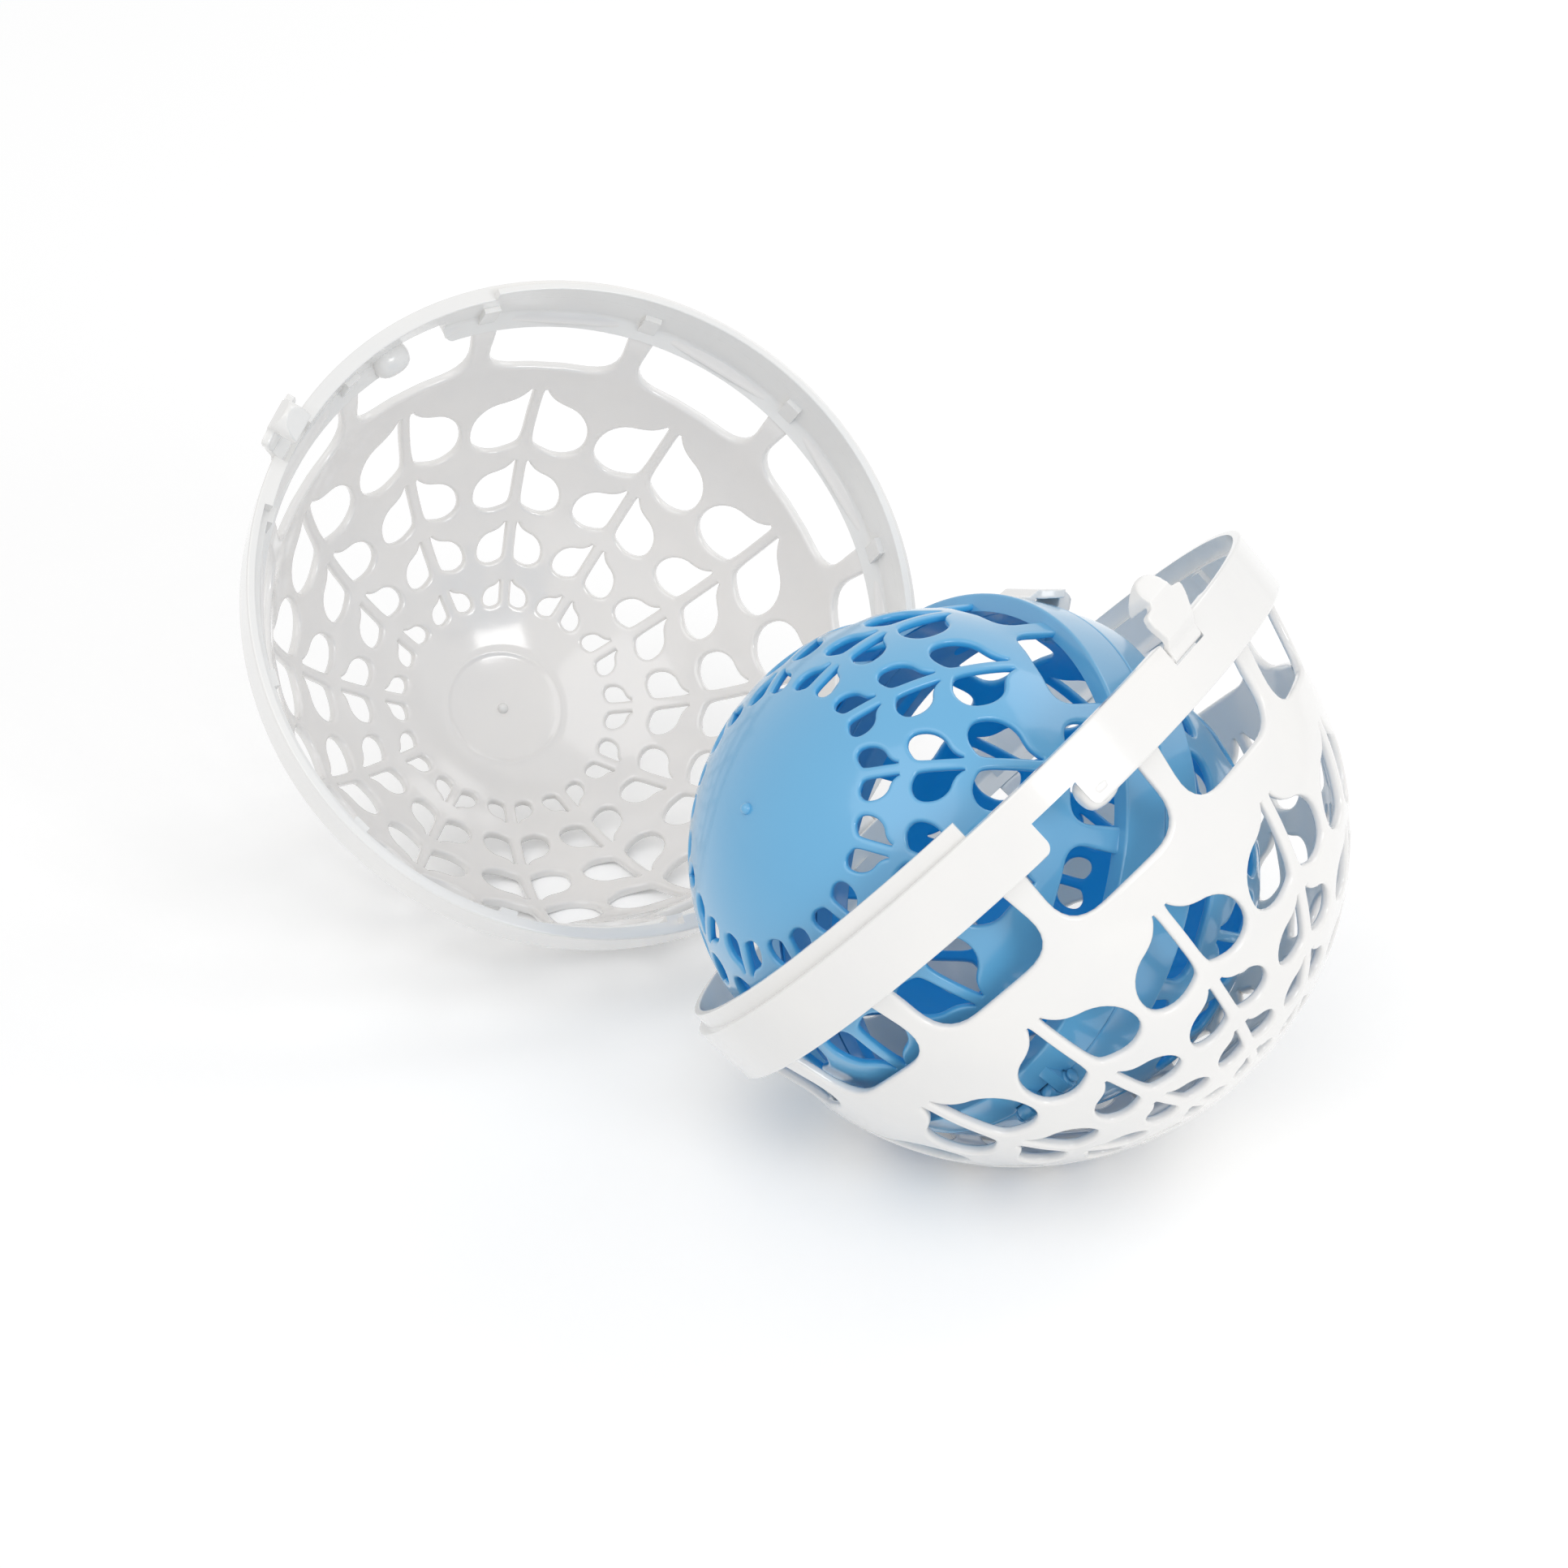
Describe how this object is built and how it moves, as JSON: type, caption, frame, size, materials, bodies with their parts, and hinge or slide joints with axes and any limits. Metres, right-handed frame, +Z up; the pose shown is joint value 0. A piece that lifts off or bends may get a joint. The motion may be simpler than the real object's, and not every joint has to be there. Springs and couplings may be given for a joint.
{
  "type": "delicates wash ball",
  "caption": "Open plastic laundry wash ball: white hinged openwork shell halves holding a light blue openwork inner ball.",
  "frame": {"origin": "middle of the footprint at floor level, below the two open shells", "axes": "+X to the right as seen in the picture, +Y away from the viewer, +Z up"},
  "size_m": [0.2604, 0.2604, 0.1571],
  "materials": {
    "white_plastic": "satin moulded",
    "blue_plastic": "satin moulded, slightly see-through"
  },
  "bodies": {
    "lower_shell": {"lower_shell": "white_plastic", "outer_hinge_pin": "white_plastic"},
    "upper_shell": {"upper_shell": "white_plastic"},
    "lower_latch_lever": {"lower_latch_lever": "white_plastic"},
    "upper_latch_lever": {"upper_latch_lever": "white_plastic"},
    "inner_rear": {"inner_rear_half": "blue_plastic", "inner_hinge_pin": "blue_plastic"},
    "inner_front": {"inner_front_half": "blue_plastic"},
    "inner_rear_latch_lever": {"inner_rear_latch_lever": "white_plastic"},
    "inner_front_latch_lever": {"inner_front_latch_lever": "white_plastic"}
  },
  "joints": [
    {"name": "outer_hinge", "type": "hinge", "parent": "lower_shell", "child": "upper_shell", "pos_m": [0.01451, 0.01458, 0.03266], "axis": [-0.6509, -0.6504, -0.3915], "range_deg": [-94.6, 0]},
    {"name": "lower_latch", "type": "hinge", "parent": "lower_shell", "child": "lower_latch_lever", "pos_m": [0.08802, -0.08769, 0.14202], "axis": [0.5252, 0.829, 0.1923], "range_deg": [0, 17], "stiffness_Nm_per_rad": 0.02},
    {"name": "upper_latch", "type": "hinge", "parent": "upper_shell", "child": "upper_latch_lever", "pos_m": [-0.11905, 0.05654, 0.12333], "axis": [-0.4157, -0.7191, -0.5568], "range_deg": [0, 17], "stiffness_Nm_per_rad": 0.02},
    {"name": "inner_lift", "type": "slide", "parent": "lower_shell", "child": "inner_rear", "axis": [-0.6823, 0.2751, 0.6774], "range_m": [0, 0.24]},
    {"name": "inner_hinge", "type": "hinge", "parent": "inner_rear", "child": "inner_front", "pos_m": [0.05982, -0.11075, 0.04168], "axis": [0.6093, -0.24, 0.7557], "range_deg": [0, 72]},
    {"name": "inner_front_latch", "type": "hinge", "parent": "inner_front", "child": "inner_front_latch_lever", "pos_m": [0.05239, -0.02645, 0.12191], "axis": [0.6299, -0.7017, 0.333], "range_deg": [0, 17], "stiffness_Nm_per_rad": 0.02},
    {"name": "inner_rear_latch", "type": "hinge", "parent": "inner_rear", "child": "inner_rear_latch_lever", "pos_m": [0.01504, -0.00538, 0.06379], "axis": [-0.3497, -0.3158, -0.882], "range_deg": [0, 17], "stiffness_Nm_per_rad": 0.02}
  ],
  "couplings": [
    {"joint": "inner_hinge", "follows": "inner_lift", "rad_per_m": 5.2359}
  ]
}
